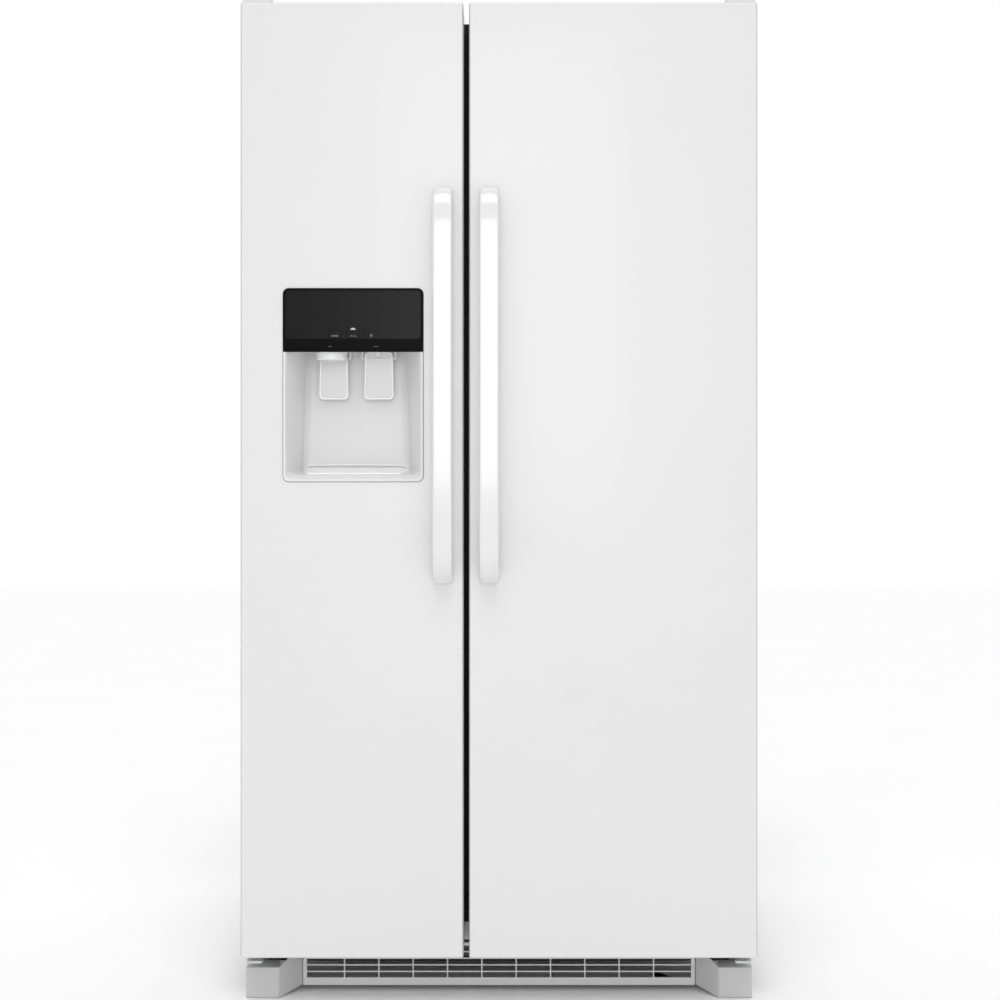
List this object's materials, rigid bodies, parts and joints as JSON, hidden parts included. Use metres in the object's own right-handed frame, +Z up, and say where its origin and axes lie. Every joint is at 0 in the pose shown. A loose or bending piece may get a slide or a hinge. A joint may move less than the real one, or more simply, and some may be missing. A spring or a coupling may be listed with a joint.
{
  "type": "side by side refrigerator",
  "caption": "White side by side refrigerator with bar handles, an ice and water dispenser in the freezer door, fitted compartments and a slotted kick plate.",
  "frame": {"origin": "on the floor, under the middle of the overall box", "axes": "+Z up, the doors face -Y, +X to the right of a person facing them"},
  "size_m": [0.908, 0.88, 1.775],
  "materials": {
    "white_paint": "satin",
    "handle_white": "gloss",
    "liner_plastic": "satin",
    "foam": "matte",
    "mullion_black": "satin",
    "zinc_steel": "satin",
    "kick_grey": "matte",
    "machine_black": "satin",
    "black_plastic": "matte",
    "valve_plastic": "matte",
    "fin_aluminium": "satin",
    "wire_white": "satin",
    "shelf_glass": "clear",
    "clear_plastic": "clear",
    "lamp_lens": "frosted",
    "gasket_rubber": "matte",
    "dispenser_grey": "satin",
    "panel_black": "gloss"
  },
  "bodies": {
    "cabinet": {"cabinet_wrap": "white_paint", "insulation": "foam", "freezer_liner": "liner_plastic", "fridge_liner": "liner_plastic", "mullion_cover": "mullion_black", "rear_panel": "zinc_steel", "base_frame": "machine_black", "kick_plate": "kick_grey", "foot_covers": "kick_grey", "hinge_brackets": "zinc_steel", "hinge_covers": "white_paint", "cabinet_screws": "zinc_steel", "machine_cover": "zinc_steel", "compressor": "machine_black", "condenser": "machine_black", "drain_pan": "black_plastic", "water_valve": "valve_plastic", "evaporator_coil": "fin_aluminium", "evaporator_cover": "liner_plastic", "freezer_shelves": "wire_white", "ice_maker": "valve_plastic", "glass_shelves": "shelf_glass", "air_tower": "liner_plastic", "light_lenses": "lamp_lens", "control_housing": "liner_plastic"},
    "freezer_door": {"freezer_door_skin": "white_paint", "freezer_door_core": "foam", "freezer_door_liner": "liner_plastic", "freezer_gasket": "gasket_rubber", "freezer_handle": "handle_white", "freezer_door_bins": "clear_plastic", "dispenser_housing": "dispenser_grey", "dispenser_panel": "panel_black", "ice_chute": "liner_plastic", "drip_tray": "dispenser_grey"},
    "ice_paddle": {"ice_paddle": "dispenser_grey"},
    "water_paddle": {"water_paddle": "dispenser_grey"},
    "chute_flap": {"chute_flap": "dispenser_grey"},
    "key_cubes": {"key_cubes": "panel_black"},
    "key_crushed": {"key_crushed": "panel_black"},
    "key_light": {"key_light": "panel_black"},
    "fridge_door": {"fridge_door_skin": "white_paint", "fridge_door_core": "foam", "fridge_door_liner": "liner_plastic", "fridge_gasket": "gasket_rubber", "fridge_handle": "handle_white", "fridge_door_bins": "clear_plastic"},
    "dairy_door": {"dairy_door": "clear_plastic"},
    "crisper_upper": {"crisper_upper": "clear_plastic"},
    "crisper_lower": {"crisper_lower": "clear_plastic"},
    "freezer_basket": {"freezer_basket": "wire_white"},
    "ice_bin": {"ice_bin": "clear_plastic"},
    "ice_auger": {"ice_auger": "zinc_steel"},
    "shutoff_arm": {"shutoff_arm": "zinc_steel"},
    "evaporator_fan": {"evaporator_fan": "valve_plastic"},
    "condenser_fan": {"condenser_fan": "black_plastic"},
    "front_rollers": {"front_rollers": "black_plastic"},
    "rear_rollers": {"rear_rollers": "black_plastic"},
    "leveling_leg_left": {"leveling_leg_left": "zinc_steel"},
    "leveling_leg_right": {"leveling_leg_right": "zinc_steel"}
  },
  "joints": [
    {"name": "freezer_door_hinge", "type": "hinge", "parent": "cabinet", "child": "freezer_door", "pos_m": [-0.432, -0.345, 0.9], "axis": [0, 0, -1], "range_deg": [0, 120]},
    {"name": "fridge_door_hinge", "type": "hinge", "parent": "cabinet", "child": "fridge_door", "pos_m": [0.432, -0.345, 0.9], "axis": [0, 0, 1], "range_deg": [0, 120]},
    {"name": "ice_paddle_hinge", "type": "hinge", "parent": "freezer_door", "child": "ice_paddle", "pos_m": [-0.2965, -0.323, 1.1445], "axis": [1, 0, 0], "range_deg": [0, 10], "stiffness_Nm_per_rad": 0.2, "springref_deg": -2.86},
    {"name": "water_paddle_hinge", "type": "hinge", "parent": "freezer_door", "child": "water_paddle", "pos_m": [-0.2155, -0.323, 1.1445], "axis": [1, 0, 0], "range_deg": [0, 10], "stiffness_Nm_per_rad": 0.2, "springref_deg": -2.86},
    {"name": "chute_flap_hinge", "type": "hinge", "parent": "freezer_door", "child": "chute_flap", "pos_m": [-0.2965, -0.333, 1.1625], "axis": [-1, 0, 0], "range_deg": [0, 50]},
    {"name": "key_cubes_press", "type": "slide", "parent": "freezer_door", "child": "key_cubes", "axis": [0, 1, 0], "range_m": [0, 0.0008], "stiffness_N_per_m": 400, "springref_m": -0.001},
    {"name": "key_crushed_press", "type": "slide", "parent": "freezer_door", "child": "key_crushed", "axis": [0, 1, 0], "range_m": [0, 0.0008], "stiffness_N_per_m": 400, "springref_m": -0.001},
    {"name": "key_light_press", "type": "slide", "parent": "freezer_door", "child": "key_light", "axis": [0, 1, 0], "range_m": [0, 0.0008], "stiffness_N_per_m": 400, "springref_m": -0.001},
    {"name": "dairy_door_hinge", "type": "hinge", "parent": "fridge_door", "child": "dairy_door", "pos_m": [0.18875, -0.229, 1.636], "axis": [1, 0, 0], "range_deg": [0, 90]},
    {"name": "crisper_upper_slide", "type": "slide", "parent": "cabinet", "child": "crisper_upper", "axis": [0, -1, 0], "range_m": [0, 0.05]},
    {"name": "crisper_lower_slide", "type": "slide", "parent": "cabinet", "child": "crisper_lower", "axis": [0, -1, 0], "range_m": [0, 0.05]},
    {"name": "freezer_basket_slide", "type": "slide", "parent": "cabinet", "child": "freezer_basket", "axis": [0, -1, 0], "range_m": [0, 0.05]},
    {"name": "ice_bin_slide", "type": "slide", "parent": "cabinet", "child": "ice_bin", "axis": [0, -1, 0], "range_m": [0, 0.05]},
    {"name": "ice_auger_spin", "type": "hinge", "parent": "ice_bin", "child": "ice_auger", "pos_m": [-0.24075, 0, 1.44], "axis": [0, 1, 0], "continuous": true},
    {"name": "shutoff_arm_hinge", "type": "hinge", "parent": "cabinet", "child": "shutoff_arm", "pos_m": [-0.113, 0.16, 1.598], "axis": [0, -1, 0], "range_deg": [0, 40]},
    {"name": "evaporator_fan_spin", "type": "hinge", "parent": "cabinet", "child": "evaporator_fan", "pos_m": [-0.24075, 0.347, 0.83], "axis": [0, 1, 0], "continuous": true},
    {"name": "condenser_fan_spin", "type": "hinge", "parent": "cabinet", "child": "condenser_fan", "pos_m": [0.071, 0.332, 0.178], "axis": [1, 0, 0], "continuous": true},
    {"name": "front_rollers_spin", "type": "hinge", "parent": "cabinet", "child": "front_rollers", "pos_m": [0, -0.205, 0.0215], "axis": [1, 0, 0], "continuous": true},
    {"name": "rear_rollers_spin", "type": "hinge", "parent": "cabinet", "child": "rear_rollers", "pos_m": [0, 0.385, 0.02], "axis": [1, 0, 0], "continuous": true},
    {"name": "leveling_leg_left_turn", "type": "hinge", "parent": "cabinet", "child": "leveling_leg_left", "pos_m": [-0.427, -0.268, 0], "axis": [0, 0, 1], "continuous": true},
    {"name": "leveling_leg_right_turn", "type": "hinge", "parent": "cabinet", "child": "leveling_leg_right", "pos_m": [0.427, -0.268, 0], "axis": [0, 0, 1], "continuous": true}
  ],
  "couplings": [
    {"joint": "chute_flap_hinge", "follows": "ice_paddle_hinge", "ratio": 5}
  ]
}
